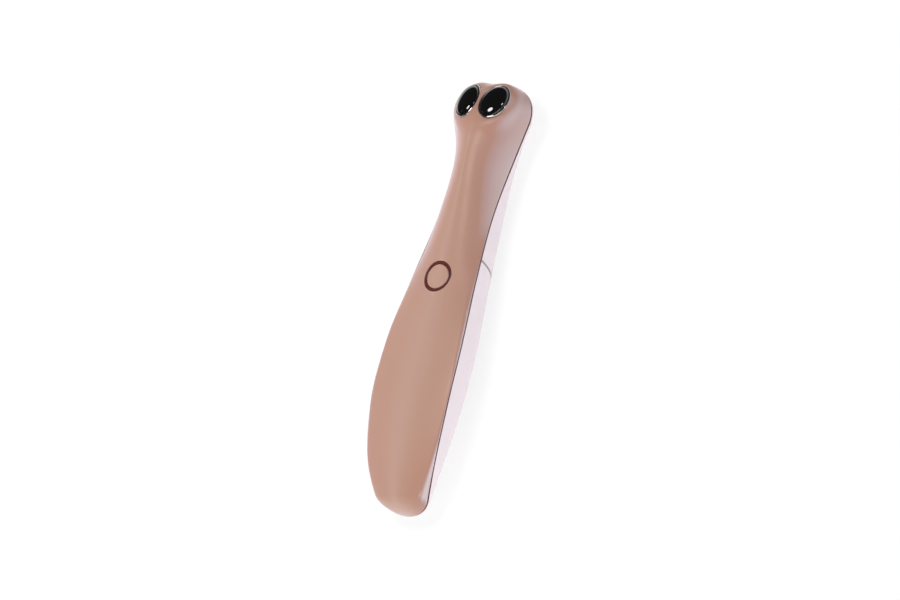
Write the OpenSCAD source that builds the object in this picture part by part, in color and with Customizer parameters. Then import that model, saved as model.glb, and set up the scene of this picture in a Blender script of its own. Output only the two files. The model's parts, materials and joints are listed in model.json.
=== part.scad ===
// Heated eye massager wand, lying on its back: +Z is the button side, +Y points to the head.
// The origin is at the middle of the length, on the symmetry plane, in the resting plane.
// All sizes in millimetres. "Along" always means the distance from the tail end.

/* [Body] */
// Length of the wand from tail to head
body_l = 160; // [150:1:175]
// Greatest width of the handle
handle_w = 33.6; // [31:0.1:37]
// Width of the waist under the head
waist_w = 24; // [23:0.2:28]
// Greatest width of the head, as a share of the handle's
head_share = 1; // [0.96:0.01:1.08]
// Height of the handle from its back to the button side
body_t = 26; // [25:0.5:30]
// Thickness of the covers
wall_t = 1.6; // [1.2:0.1:1.8]

/* [Seam] */
// Gap between front and back covers, filled by the gasket
seam_gap = 0.3; // [0.2:0.05:0.5]
// Place of the oblique band on the back, as a share of the length
band_place = 0.578; // [0.57:0.002:0.592]
// Visible width of the oblique band
band_w = 1; // [0.8:0.1:1.6]
// Lean of the oblique band from upright
band_lean = 13.4; // [8:0.2:18]

/* [Button] */
// Place of the button's middle, as a share of the length
button_place = 0.526; // [0.522:0.001:0.532]
// Outer diameter of the ring round the button
ring_d = 11.6; // [10:0.2:12.6]
// Width of the ring
ring_w = 1.2; // [1:0.1:1.4]
// Travel of the button
button_travel = 0.3; // [0.2:0.05:0.4]

/* [Domes] */
// Width of a dome with its bezel
dome_w = 10.7; // [9.6:0.1:10.9]
// Length of a dome with its bezel
dome_l = 14.3; // [13:0.1:15]
// Height of the black dome above its bezel
dome_h = 2.4; // [1.8:0.1:3]
// Distance between the middles of the two domes
dome_pitch = 11.7; // [11.6:0.1:12.6]
// Distance from the domes' middles back to the head end
dome_back = 10.2; // [9.8:0.2:11.6]
// Tilt of the domes toward the head end
dome_tilt = 18; // [14:0.5:22]
// Outward cant of each dome
dome_cant = 13.5; // [10:0.5:18]
// Outward turn of each dome's long axis
dome_splay = 11; // [6:0.5:14]

/* [Inside] */
// Diameter of the cell
cell_d = 14; // [12:0.1:14.4]
// Room between the cell and the main board
cell_gap = 3.7; // [3.4:0.1:5]
// Diameter of the vibration motor
motor_d = 7; // [6:0.1:7.2]
// Length of the motor's can
motor_l = 13; // [11:0.5:14]
// Thickness of the circuit boards
board_t = 1; // [0.8:0.1:1.2]

/* [Hidden] */

$fn = 48;

rose = [0.72, 0.57, 0.50];
pearl = [0.84, 0.80, 0.82];
maroon = [0.36, 0.16, 0.14];
band_grey = [0.66, 0.62, 0.64];
black = [0.03, 0.03, 0.035];
silver = [0.80, 0.80, 0.80];
board_green = [0.10, 0.32, 0.20];
steel = [0.60, 0.61, 0.63];
nylon = [0.85, 0.84, 0.80];
rubber = [0.14, 0.14, 0.15];

// ---- Outline: values at eight stations from the tail to the head ----
station = body_l * [0, 0.076, 0.217, 0.382, 0.535, 0.688, 0.841, 1];
handle_half = handle_w / 2;
waist_half = waist_w / 2;
head_half = handle_half * head_share;
band_at = band_place * body_l;
button_at = button_place * body_l;
dome_at = body_l - dome_back;
// How far the body is sunk into the resting plane, which gives its flat
rest_sink = 0.1;
half_list = [
  0.521 * handle_half, 0.808 * handle_half, handle_half, 0.995 * handle_half,
  0.488 * (handle_half + waist_half), waist_half, 0.817 * head_half, 1.38 * head_half
];
seam_list = body_t * [0.335, 0.623, 0.811, 0.801, 0.688, 0.546, 0.43, 0.606];
wall_list = body_t * [0.21, 0.085, 0.02, 0.04, 0.035, 0.023, 0.173, 0.21];
crown_list = body_t * [0.104, 0.096, 0.088, 0.073, 0.135, 0.27, 0.267, 0.135];
back_list = body_t * [0.085, 0.403, 0.723, 0.797, 0.69, 0.546, 0.279, 0.229];
lean_list = [0.6, 0.6, 0.5, 0.6, 0.9, 2, 3.2, 4];
corner_list = [1.5, 1, 0.8, 0.9, 1.2, 2.5, 6, 7];
// Exponents of the rounded back and of the crowned front
back_power = 2.1;
crown_power = 2.2;
// Rounding of the two ends: length, exponent and height of the tip
tail_round = 5.1;
tail_power = 2.33;
tail_tip_z = 0.262 * body_t;
head_round = 15.7;
head_power = 1.75;
head_tip_z = 0.396 * body_t;
last = len(station) - 1;

function step_slope(v, i) = (v[i + 1] - v[i]) / (station[i + 1] - station[i]);
function mid_slope(v, i) =
  let (before = station[i] - station[i - 1], after = station[i + 1] - station[i])
  (before * step_slope(v, i) + after * step_slope(v, i - 1)) / (before + after);
function slope(v, i) =
  i == 0 ? 1.5 * step_slope(v, 0) - 0.5 * mid_slope(v, 1)
  : i == last ? 1.5 * step_slope(v, last - 1) - 0.5 * mid_slope(v, last - 1)
  : mid_slope(v, i);
function span_of(along, i = 0) = i >= last - 1 || along < station[i + 1] ? i : span_of(along, i + 1);
// Smooth curve through the values v at the stations
function curve(v, along) =
  let (
    i = span_of(along),
    h = station[i + 1] - station[i],
    t = (along - station[i]) / h
  )
  (2 * pow(t, 3) - 3 * pow(t, 2) + 1) * v[i]
  + (pow(t, 3) - 2 * pow(t, 2) + t) * h * slope(v, i)
  + (3 * pow(t, 2) - 2 * pow(t, 3)) * v[i + 1]
  + (pow(t, 3) - pow(t, 2)) * h * slope(v, i + 1);

function round_off(t, power) = pow(max(0, 1 - pow(min(1, max(0, t)), power)), 1 / power);
// Share of the full section that is left near the rounded ends, for a skin inset by g
function end_share(along, g = 0) =
  round_off((tail_round + g - along) / tail_round, tail_power)
  * round_off((along - (body_l - g - head_round)) / head_round, head_power);
function tip_z(along) = along < body_l / 2 ? tail_tip_z : head_tip_z;
// Heights shrink toward the tip near the ends, and sink into the resting plane
function set_z(along, z, g = 0) = tip_z(along) + end_share(along, g) * (z - tip_z(along)) - rest_sink;

function half_w(along) = curve(half_list, along);
function seam_h(along) = curve(seam_list, along);
function crease_h(along) = seam_h(along) + curve(wall_list, along);
// The front is a little flatter along the length where the thumb lies on the button
thumb_ease = 0.03;
thumb_reach = 12;
function crown_h(along) =
  let (from_button = along - button_at)
  curve(crown_list, along) + thumb_ease * from_button * exp(-pow(from_button / thumb_reach, 2));
function front_h(along) = crease_h(along) + crown_h(along);
function crown_z(along, x) =
  let (edge = half_w(along) - curve(lean_list, along))
  front_h(along) - crown_h(along) * pow(min(1, abs(x) / edge), crown_power);

// Right half of the front skin, from the seam over the soft crease to the middle
corner_steps = 5;
crown_steps = 5;
function front_half(along) =
  let (
    w = half_w(along),
    low = [w, seam_h(along)],
    crease = [w - curve(lean_list, along), crease_h(along)],
    reach = min(curve(corner_list, along), 0.8 * norm(crease - low)),
    from = crease + reach * (low - crease) / norm(low - crease),
    turn_x = crease[0] - curve(corner_list, along),
    to = [turn_x, crown_z(along, turn_x)]
  )
  concat(
    [low],
    [for (k = [0 : corner_steps - 1]) let (s = k / corner_steps)
      pow(1 - s, 2) * from + 2 * s * (1 - s) * crease + s * s * to],
    [for (k = [0 : crown_steps]) let (x = turn_x * (1 - k / crown_steps)) [x, crown_z(along, x)]]
  );
// Inner side of the front cover: an arch that springs from the seam plane
arch_steps = corner_steps + crown_steps + 1;
function front_inner_half(along, g) =
  let (w = half_w(along) - g, rise = front_h(along) - g - seam_h(along))
  [for (k = [0 : arch_steps]) let (a = 90 * k / arch_steps) [w * cos(a), seam_h(along) + rise * sin(a)]];
// Left half of the back skin, from the seam down to the middle, inset by g
thin_skin = 0.1;
function back_half(along, g, drop = 0) =
  let (
    w = half_w(along) - g,
    least = g > 0 ? thin_skin : 4 * thin_skin,
    depth = max(least, curve(back_list, along) - g - drop)
  )
  [for (k = [0 : arch_steps]) let (a = 90 * k / arch_steps)
    [-w * pow(cos(a), 2 / back_power), seam_h(along) - drop - depth * pow(sin(a), 2 / back_power)]];
function mirrored(half) = concat(half, [for (k = [len(half) - 2 : -1 : 0]) [-half[k][0], half[k][1]]]);
function place(along, section, g = 0) =
  [for (p = section) [end_share(along, g) * p[0], along, set_z(along, p[1], g)]];

// Rings lie closer together toward both ends
ring_count = 38;
end_inset = 0.04;
function ring_at(i, g) =
  let (from = g + end_inset, to = body_l - g - end_inset, s = i / (ring_count - 1))
  from + (to - from) * (0.55 * (1 - cos(180 * s)) / 2 + 0.45 * s);

// Faces of a skin of rows x cols points, outer grid first and inner grid after it
function cell(a, b, c, d) = [[a, b, c], [a, c, d]];
function skin_faces(rows, cols) = [for (i = [0 : rows - 2], j = [0 : cols - 2], f = cell(
    i * cols + j, i * cols + j + 1, (i + 1) * cols + j + 1, (i + 1) * cols + j)) f];
function turned(faces, shift) = [for (f = faces) [f[2] + shift, f[1] + shift, f[0] + shift]];
function edge_faces(rows, cols) =
  let (n = rows * cols, e = cols - 1)
  [for (i = [0 : rows - 2], f = concat(
      cell(i * cols, (i + 1) * cols, n + (i + 1) * cols, n + i * cols),
      cell(i * cols + e, n + i * cols + e, n + (i + 1) * cols + e, (i + 1) * cols + e))) f];
// A cover: both ends closed by a small flat nose
function cover_faces(rows, cols) =
  let (n = rows * cols, e = cols - 1, top = (rows - 1) * cols)
  concat(
    skin_faces(rows, cols), turned(skin_faces(rows, cols), n), edge_faces(rows, cols),
    [[for (j = [e : -1 : 0]) j], [for (j = [0 : e]) n + j]],
    [[for (j = [0 : e]) top + j], [for (j = [e : -1 : 0]) n + top + j]],
    cell(e, 0, n, n + e), cell(top, top + e, n + top + e, n + top)
  );
// A strap: both ends open
function strap_faces(rows, cols) =
  let (n = rows * cols, top = (rows - 1) * cols)
  concat(
    skin_faces(rows, cols), turned(skin_faces(rows, cols), n), edge_faces(rows, cols),
    [for (j = [0 : cols - 2], f = concat(
      cell(j + 1, j, n + j, n + j + 1),
      cell(top + j, top + j + 1, n + top + j + 1, n + top + j))) f]
  );
function flat_list(rows) = [for (r = rows, p = r) p];

module cover(outer, inner) {
  polyhedron(flat_list(concat(outer, inner)), cover_faces(len(outer), len(outer[0])), convexity = 6);
}
module strap(outer, inner) {
  polyhedron(flat_list(concat(outer, inner)), strap_faces(len(outer), len(outer[0])), convexity = 6);
}
// A closed or open tube of n-sided rings, given as lists of points
function tube_faces(rows, cols) = [for (i = [0 : rows - 2], j = [0 : cols - 1], f = cell(
    i * cols + j, (i + 1) * cols + j, (i + 1) * cols + (j + 1) % cols, i * cols + (j + 1) % cols)) f];
module tube(rings) {
  rows = len(rings);
  cols = len(rings[0]);
  polyhedron(
    flat_list(rings),
    concat(
      tube_faces(rows, cols),
      [[for (j = [0 : cols - 1]) j], [for (j = [cols - 1 : -1 : 0]) (rows - 1) * cols + j]]
    ),
    convexity = 8
  );
}

// The whole model is drawn along +Y from the tail and then centred on its length
module centred() {
  translate([0, -body_l / 2, 0]) children();
}

// ---- Heights and widths inside the covers ----
function front_z(along) = set_z(along, front_h(along));
function back_z(along) = set_z(along, seam_h(along) - curve(back_list, along));
function seam_z(along) = set_z(along, seam_h(along));
function roof_z(along, x) =
  let (w = half_w(along) - wall_t, rise = front_h(along) - wall_t - seam_h(along))
  seam_h(along) + rise * sqrt(max(0, 1 - pow(x / w, 2))) - rest_sink;
function floor_z(along, x) =
  let (w = half_w(along) - wall_t, depth = curve(back_list, along) - wall_t)
  seam_h(along) - depth * pow(max(0, 1 - pow(abs(x) / w, back_power)), 1 / back_power) - rest_sink;
function skin_z(along, x) =
  seam_h(along) - rest_sink
  - curve(back_list, along) * pow(max(0, 1 - pow(abs(x) / half_w(along), back_power)), 1 / back_power);
function room_half(along, z) =
  let (w = half_w(along) - wall_t, depth = curve(back_list, along) - wall_t, down = seam_z(along) - z)
  w * pow(max(0, 1 - pow(max(0, down) / depth, back_power)), 1 / back_power);
function head_room_half(along, z) =
  let (w = half_w(along) - wall_t, rise = front_h(along) - wall_t - seam_h(along), up = z - seam_z(along))
  up > 0 ? w * sqrt(max(0, 1 - pow(up / rise, 2))) : room_half(along, z);

// ---- Covers ----
function front_rows(g) = [for (i = [0 : ring_count - 1]) let (a = ring_at(i, g))
  place(a, mirrored(g == 0 ? front_half(a) : front_inner_half(a, g)), g)];
function back_rows(g, drop) = [for (i = [0 : ring_count - 1]) let (a = ring_at(i, g))
  place(a, mirrored(back_half(a, g, drop)), g)];

hook_places = [0.28 * body_l, 0.45 * body_l];
hook_t = 1;
hook_l = 5;
hook_catch = 0.6;
hook_root = 0.4;
hook_play = 0.05;
frame_play = 0.6;
frame_t = 1.6;
frame_z = 0.43 * body_t;
frame_from = 20.2;
frame_short = 13;
frame_to = dome_at - frame_short;
function frame_half(along) = head_room_half(along, frame_z) - hook_t - frame_play;

module hook(along) {
  x = max([for (share = [-0.5, 0, 0.5]) frame_half(along + share * hook_l)]);
  top = roof_z(along, x + hook_t) + hook_root;
  translate([x + hook_play, along - hook_l / 2, frame_z - hook_catch])
    cube([hook_t, hook_l, top - frame_z + hook_catch]);
  translate([x - hook_catch, along - hook_l / 2, frame_z - hook_catch])
    cube([hook_catch + 2 * hook_play, hook_l, hook_catch - fit_gap]);
}

// The button stands square to the sloping front
button_z = front_z(button_at);
tilt_span = 2;
button_rise = front_z(button_at + tilt_span) - front_z(button_at - tilt_span);
button_tilt = atan(button_rise / (2 * tilt_span));
ring_r = ring_d / 2;
ring_bore_r = ring_r - ring_w;
ring_top = -0.15;
ring_lip = 1;
ring_flange_r = ring_r + ring_lip;
ring_flange_top = -2.1;
ring_flange_t = 0.6;
ring_bottom = ring_flange_top - ring_flange_t;
fit_gap = 0.02;
flange_gap = 0.05;
boss_wall = 1;
boss_t = 0.9;
ring_cut_from = -6;
ring_cut_l = 9;
module at_button() {
  translate([0, button_at, button_z]) rotate([button_tilt, 0, 0]) children();
}

// Each dome has its own frame: z out of the dome, y along its length
dome_sink = 1.85;
dome_z = front_z(dome_at) - dome_sink;
bezel_wall = 0.55;
bezel_top = 0.35;
bezel_bottom = -2.6;
dome_a = dome_w / 2;
dome_b = dome_l / 2;
module at_dome(side) {
  mirror([side < 0 ? 1 : 0, 0, 0])
    translate([dome_pitch / 2, dome_at, dome_z])
      rotate([-dome_tilt, 0, 0]) rotate([0, dome_cant, 0]) rotate([0, 0, -dome_splay])
        children();
}
collar_w = 0.75;
collar_top = -0.75;
collar_skirt = 0.4;
dome_gap = 0.03;
dome_cut_from = -4.5;
dome_cut_to = 4;
oval_sides = 40;
function oval(a, b) = [for (k = [0 : oval_sides - 1]) let (turn = 360 * k / oval_sides)
  [a * cos(turn), b * sin(turn)]];
module oval_disc(inset, from, to) {
  translate([0, 0, from]) linear_extrude(to - from) polygon(oval(dome_a - inset, dome_b - inset));
}

module front_cover() {
  color(rose) centred() difference() {
    union() {
      cover(front_rows(0), front_rows(wall_t));
      at_button() translate([0, 0, ring_flange_top]) cylinder(r = ring_flange_r + boss_wall, h = boss_t);
      for (side = [-1, 1]) at_dome(side) oval_disc(-collar_w, bezel_bottom - collar_skirt, collar_top);
      for (along = hook_places, side = [0, 1]) mirror([side, 0, 0]) hook(along);
    }
    at_button() translate([0, 0, ring_cut_from]) cylinder(r = ring_r + fit_gap, h = ring_cut_l);
    at_button() translate([0, 0, ring_cut_from])
      cylinder(r = ring_flange_r + flange_gap, h = ring_flange_top - ring_cut_from);
    for (side = [-1, 1]) at_dome(side) oval_disc(-dome_gap, dome_cut_from, dome_cut_to);
  }
}

// The oblique parting of the back: local y is square to the cut
module at_band() {
  translate([0, band_at, seam_z(band_at)]) rotate([-band_lean, 0, 0]) children();
}
cut_size = 2 * body_l;
// How far a cut runs past what it cuts
over = 1;
module half_space(from, to) {
  at_band() translate([-cut_size / 2, from, -cut_size / 2]) cube([cut_size, to - from, cut_size]);
}
module back_shell() {
  difference() {
    cover(back_rows(0, seam_gap), back_rows(wall_t, seam_gap));
    // The flat that the wand rests on
    translate([-cut_size / 2, 0, -cut_size]) cube([cut_size, body_l, cut_size]);
  }
}

frame_screw_x = 5.6;
frame_screw_places = [22.2, 0.606 * body_l];
post_r = 1.8;
screw_r = 0.95;
pilot_r = 0.8;
screw_head_r = 1.8;
screw_head_t = 1.1;
screw_l = 5.4;
pilot_l = 4.4;
screw_play = 0.1;
skin_left = 0.3;
small_head_r = 1.4;
small_head_t = 0.8;
small_r = 0.6;
small_pilot_l = 5;
pilot_room = 0.5;
module post(x, along, top) {
  low = skin_z(along, abs(x) + post_r) + skin_left;
  translate([x, along, low]) cylinder(r = post_r, h = top - low);
}
module pilot(x, along, top, depth) {
  translate([x, along, top - depth]) cylinder(r = pilot_r, h = depth + over);
}

// The charging socket hangs from its own board and looks out of the back near the tail
charge_at = 13.6;
charge_w = 8.9;
charge_t = 3.2;
charge_l = 8.6;
mouth_sink = 0.9;
charge_mouth_z = back_z(charge_at) + mouth_sink;
charge_board_z = charge_mouth_z + charge_l;
charge_board_w = 13;
charge_board_from = 9;
charge_board_to = 19.8;
charge_screw_x = 4.6;
charge_screw_at = 18;
mouth_play = 0.3;
mouth_cut = 3;
shell_t = 0.3;
shell_back = 1.6;
tongue_w = 6.6;
tongue_t = 0.7;
tongue_inset = 1;
module slot_shape(w, t) {
  square([w - t, t], center = true);
  for (side = [-1, 1]) translate([side * (w - t) / 2, 0]) circle(d = t);
}

module back_cover_lower() {
  color(pearl) centred() difference() {
    union() {
      intersection() {
        back_shell();
        half_space(-cut_size, -band_w / 2);
      }
      for (x = [-frame_screw_x, frame_screw_x]) post(x, frame_screw_places[0], frame_z);
      for (x = [-charge_screw_x, charge_screw_x]) post(x, charge_screw_at, charge_board_z);
    }
    for (x = [-frame_screw_x, frame_screw_x]) pilot(x, frame_screw_places[0], frame_z, pilot_l);
    for (x = [-charge_screw_x, charge_screw_x]) pilot(x, charge_screw_at, charge_board_z, small_pilot_l);
    translate([0, charge_at, -over]) linear_extrude(charge_mouth_z + over + mouth_cut)
      slot_shape(charge_w + mouth_play, charge_t + mouth_play);
  }
}

module back_cover_upper() {
  x = frame_screw_x;
  color(pearl) centred() difference() {
    union() {
      intersection() {
        back_shell();
        half_space(band_w / 2, cut_size);
      }
      for (side = [-1, 1]) post(side * x, frame_screw_places[1], frame_z);
    }
    for (side = [-1, 1]) pilot(side * x, frame_screw_places[1], frame_z, pilot_l);
  }
}

band_inset = 0.2;
band_depth = 0.9;
band_tuck = 2.4;
band_rows = 9;
band_before = 13;
band_after = 6;
function band_row(i, g) =
  let (a = band_at - band_before + (band_before + band_after) * i / (band_rows - 1))
  place(a, mirrored(back_half(a, g, seam_gap)), g);
module band_strap(from, to) {
  strap([for (i = [0 : band_rows - 1]) band_row(i, from)], [for (i = [0 : band_rows - 1]) band_row(i, to)]);
}
module back_band() {
  color(band_grey) centred() {
    intersection() {
      band_strap(band_inset, wall_t + band_depth / 2);
      half_space(-band_w / 2, band_w / 2);
    }
    intersection() {
      band_strap(wall_t, wall_t + band_depth);
      half_space(-band_tuck, band_tuck);
    }
  }
}

// The gasket lies in the seam all the way round
gasket_play = 0.05;
function seam_edge(i, side, g, drop) =
  let (a = ring_at(i, g))
  [side * end_share(a, g) * (half_w(a) - g), a, set_z(a, seam_h(a) - drop, g)];
// Between the edges of the two covers, a share of the way from the front to the back
function gasket_point(i, side, g, share) =
  (1 - share) * seam_edge(i, side, g, 0) + share * seam_edge(i, side, g, seam_gap);
function gasket_ring(i, side) = [
  gasket_point(i, side, 0, gasket_play / seam_gap),
  gasket_point(i, side, 0, 1 - gasket_play / seam_gap),
  gasket_point(i, side, wall_t, 1 - gasket_play / seam_gap),
  gasket_point(i, side, wall_t, gasket_play / seam_gap)
];
// Each face of the gasket is halved the same way as the cover's seam face beside it
function gasket_cell(here, next, j, swap) =
  let (a = here + j, b = next + j, c = next + (j + 1) % 4, d = here + (j + 1) % 4)
  swap ? cell(b, c, d, a) : cell(a, b, c, d);
module seam_gasket() {
  rings = concat(
    [for (i = [0 : ring_count - 1]) gasket_ring(i, 1)],
    [for (i = [ring_count - 1 : -1 : 0]) gasket_ring(i, -1)]
  );
  n = len(rings);
  color(maroon) centred() polyhedron(
    flat_list(rings),
    [for (i = [0 : n - 1], j = [0 : 3],
      f = gasket_cell(i * 4, ((i + 1) % n) * 4, j, (j == 3) != (i >= ring_count))) f],
    convexity = 6
  );
}

// ---- Button ----
module button_ring() {
  color(maroon) centred() at_button() difference() {
    union() {
      translate([0, 0, ring_bottom]) cylinder(r = ring_r, h = ring_top - ring_bottom);
      translate([0, 0, ring_bottom]) cylinder(r = ring_flange_r, h = ring_flange_t);
    }
    translate([0, 0, ring_bottom - over]) cylinder(r = ring_bore_r, h = ring_top - ring_bottom + 2 * over);
  }
}

cap_gap = 0.1;
cap_r = ring_bore_r - cap_gap;
cap_top = -0.1;
cap_lip = 0.8;
cap_flange_r = ring_bore_r + cap_lip;
cap_play = 0.05;
cap_flange_top = ring_bottom - cap_play;
cap_flange_t = 0.45;
cap_bottom = cap_flange_top - cap_flange_t;
pad_r = 2;
pad_top = -1.6;
pad_proud = 0.1;
pad_bottom = cap_bottom - pad_proud;
module button_cap() {
  color(rose) centred() at_button() difference() {
    union() {
      translate([0, 0, cap_bottom]) cylinder(r = cap_r, h = cap_top - cap_bottom);
      translate([0, 0, cap_bottom]) cylinder(r = cap_flange_r, h = cap_flange_t);
    }
    translate([0, 0, cap_bottom - over]) cylinder(r = pad_r, h = over + pad_top - cap_bottom);
  }
}
module button_pad() {
  color(rubber) centred() at_button() translate([0, 0, pad_bottom])
    cylinder(r = pad_r, h = pad_top - pad_bottom);
}

// ---- Switch and main board ----
plunger_r = 1.2;
plunger_gap = 0.06;
plunger_top = pad_bottom - fit_gap;
plunger_l = 1.1;
switch_size = 5.2;
switch_t = 1.8;
switch_floor = 0.5;
switch_rest = 0.1;
board_top = plunger_top - button_travel - switch_rest - switch_t;
board_w = 20;
board_l = 18;
board_screw_x = 8;
board_screw_y = 7;
board_tail = button_at - board_l / 2;
// A point over the top face of the main board, and one below its underside
function over_board(x, y, up) =
  let (level = board_top + up, c = cos(button_tilt), s = sin(button_tilt))
  [x, button_at + y * c - level * s, button_z + y * s + level * c];
function under_board(x, y, down) = over_board(x, y, -board_t - down);
module on_board(x, y) {
  at_button() translate([x, y, board_top]) children();
}
module switch_plunger() {
  color(rubber) centred() at_button() translate([0, 0, plunger_top - plunger_l])
    cylinder(r = plunger_r, h = plunger_l);
}
module switch_body() {
  color(steel) centred() difference() {
    on_board(0, 0) translate([-switch_size / 2, -switch_size / 2, 0])
      cube([switch_size, switch_size, switch_t]);
    on_board(0, 0) translate([0, 0, switch_floor])
      cylinder(r = plunger_r + plunger_gap, h = switch_t);
  }
}
module main_board() {
  color(board_green) centred() difference() {
    on_board(-board_w / 2, -board_l / 2) translate([0, 0, -board_t]) cube([board_w, board_l, board_t]);
    for (x = [-1, 1], y = [-1, 1])
      on_board(x * board_screw_x, y * board_screw_y) translate([0, 0, -board_t - over])
        cylinder(r = screw_r + screw_play, h = board_t + 2 * over);
  }
}
chip_x = 5.8;
chip_size = 3.4;
chip_t = 0.8;
module control_chip() {
  color(rubber) centred() on_board(chip_x, -chip_size / 2) cube([chip_size, chip_size, chip_t]);
}
coil_x = -7.7;
coil_r = 1.8;
coil_t = 1.6;
module power_coil() {
  color(rubber) centred() on_board(coil_x, 0) cylinder(r = coil_r, h = coil_t);
}
led_circle_r = 5;
led_size = 1;
led_t = 0.5;
module status_leds() {
  color(pearl) centred() for (turn = [45 : 90 : 315])
    on_board(led_circle_r * cos(turn), led_circle_r * sin(turn))
      translate([-led_size / 2, -led_size / 2, 0]) cube([led_size, led_size, led_t]);
}
// A screw with its head on z = 0 and its shank going down
module screw(shank) {
  cylinder(r = screw_head_r, h = screw_head_t);
  translate([0, 0, -shank]) cylinder(r = pilot_r, h = shank + screw_head_t / 2);
}
module small_screw(shank) {
  cylinder(r = small_head_r, h = small_head_t);
  translate([0, 0, -shank]) cylinder(r = small_r, h = shank + small_head_t / 2);
}
board_screw_l = 2.4;
module board_screws() {
  color(steel) centred() for (x = [-1, 1], y = [-1, 1])
    on_board(x * board_screw_x, y * board_screw_y) small_screw(board_screw_l);
}

// ---- Cell: it fills the bay between the tail's screws and the main board ----
cell_from = 24.8;
cell_l = board_tail - cell_gap - cell_from;
cell_to = cell_from + cell_l;
cell_low_at = 3;
cell_clear = 0.9;
cell_z = floor_z(cell_from + cell_low_at, 0) + cell_d / 2 + cell_clear;
cell_nose = 0.8;
nose_share = 0.4;
wrap_t = 0.2;
tab_w = 4;
tab_l = 9;
tab_t = 0.2;
tab_drop = 3;
foam_w = 8;
foam_inset = 8;
foam_play = 0.1;
module along_y(from, z) {
  translate([0, from, z]) rotate([-90, 0, 0]) children();
}
module cell() {
  color(steel) centred() along_y(cell_from, cell_z) {
    cylinder(d = cell_d - 2 * wrap_t, h = cell_l - cell_nose);
    cylinder(d = cell_d * nose_share, h = cell_l);
  }
}
module cell_wrap() {
  color([0.20, 0.36, 0.62]) centred() along_y(cell_from, cell_z) difference() {
    translate([0, 0, wrap_t]) cylinder(d = cell_d, h = cell_l - cell_nose - wrap_t);
    translate([0, 0, -over]) cylinder(d = cell_d - 2 * wrap_t, h = cell_l + 2 * over);
  }
}
module cell_tabs() {
  color(silver) centred() for (along = [cell_from - tab_t, cell_to])
    translate([-tab_w / 2, along, cell_z - tab_drop]) cube([tab_w, tab_t, tab_l]);
}
module cell_foam() {
  from = cell_from + foam_inset;
  long = cell_l - 2 * foam_inset;
  top = min(roof_z(from, foam_w / 2), roof_z(from + long, foam_w / 2)) - foam_play;
  color(rubber) centred() difference() {
    translate([-foam_w / 2, from, cell_z]) cube([foam_w, long, top - cell_z]);
    along_y(0, cell_z) cylinder(d = cell_d + fit_gap, h = body_l);
  }
}

// ---- Inner frame ----
motor_from = 0.642 * body_l;
motor_sleeve_t = 1;
saddle_t = 0.9;
motor_sleeve_r = motor_d / 2 + motor_sleeve_t;
motor_clear = 0.35;
motor_z = floor_z(motor_from + motor_l, 0) + motor_clear + saddle_t + motor_sleeve_r;
motor_bay_before = 4;
motor_bay_after = 10;
sleeve_inset = 1;
window_gap = 0.3;
lead_slot_w = 4.6;
lead_slot_l = 11;
cell_room = 0.8;
cell_saddle_t = 0.6;
cell_saddle_in = 5;
carrier_screw_x = 6.6;
carrier_screw_in = 3;
carrier_screw_at = frame_to - carrier_screw_in;
carrier_gap = 1;
carrier_z = frame_z + frame_t + carrier_gap;
carrier_t = 1.4;
cradle_l = 3;
board_pilot_l = 4;
board_post_r = 1.5;
post_root = 0.9;
function frame_edge(side) = [for (k = [0 : 20]) let (a = frame_from + (frame_to - frame_from) * k / 20)
  [side * frame_half(a), a]];
function back_to_front(list) = [for (k = [len(list) - 1 : -1 : 0]) list[k]];
module saddle(r, t, from, long, axis_z, top) {
  difference() {
    union() {
      along_y(from, axis_z) cylinder(r = r + t, h = long);
      translate([-r - t, from, axis_z]) cube([2 * (r + t), long, top - axis_z]);
    }
    along_y(from - over, axis_z) cylinder(r = r, h = long + 2 * over);
    translate([-r, from - over, axis_z]) cube([2 * r, long + 2 * over, top]);
    translate([-r - t - over, from - over, top]) cube([2 * (r + t + over), long + 2 * over, cell_d]);
  }
}
module inner_frame() {
  color(nylon) centred() difference() {
    union() {
      difference() {
        translate([0, 0, frame_z]) linear_extrude(frame_t)
          polygon(concat(frame_edge(1), back_to_front(frame_edge(-1))));
        translate([-cell_d / 2 - window_gap, cell_from - cell_room, 0])
          cube([cell_d + 2 * window_gap, cell_l + 2 * cell_room, body_t]);
        translate([-motor_sleeve_r - window_gap / 2, motor_from - motor_bay_before, 0])
          cube([2 * motor_sleeve_r + window_gap, motor_bay_before + motor_l + motor_bay_after, body_t]);
        translate([-lead_slot_w / 2, motor_from - lead_slot_l, 0]) cube([lead_slot_w, lead_slot_l, body_t]);
      }
      for (along = [cell_from + cell_saddle_in, cell_to - cell_saddle_in - cradle_l])
        saddle(cell_d / 2 + window_gap / 2, cell_saddle_t, along, cradle_l, cell_z, frame_z + frame_t);
      saddle(motor_sleeve_r + fit_gap, saddle_t, motor_from + sleeve_inset, motor_l - 2 * sleeve_inset,
        motor_z, frame_z + frame_t);
      for (x = [-1, 1], y = [-1, 1]) board_post(x * board_screw_x, y * board_screw_y);
      for (x = [-1, 1]) translate([x * carrier_screw_x, carrier_screw_at, frame_z])
        cylinder(r = post_r, h = carrier_z - frame_z);
    }
    for (x = [-1, 1], y = [-1, 1])
      on_board(x * board_screw_x, y * board_screw_y) translate([0, 0, -board_t - board_pilot_l])
        cylinder(r = small_r, h = board_pilot_l + over);
    for (x = [-1, 1]) {
      for (along = frame_screw_places) translate([x * frame_screw_x, along, 0])
        cylinder(r = screw_r + screw_play, h = body_t);
      translate([x * carrier_screw_x, carrier_screw_at, 0]) cylinder(r = pilot_r, h = body_t);
    }
  }
}
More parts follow.
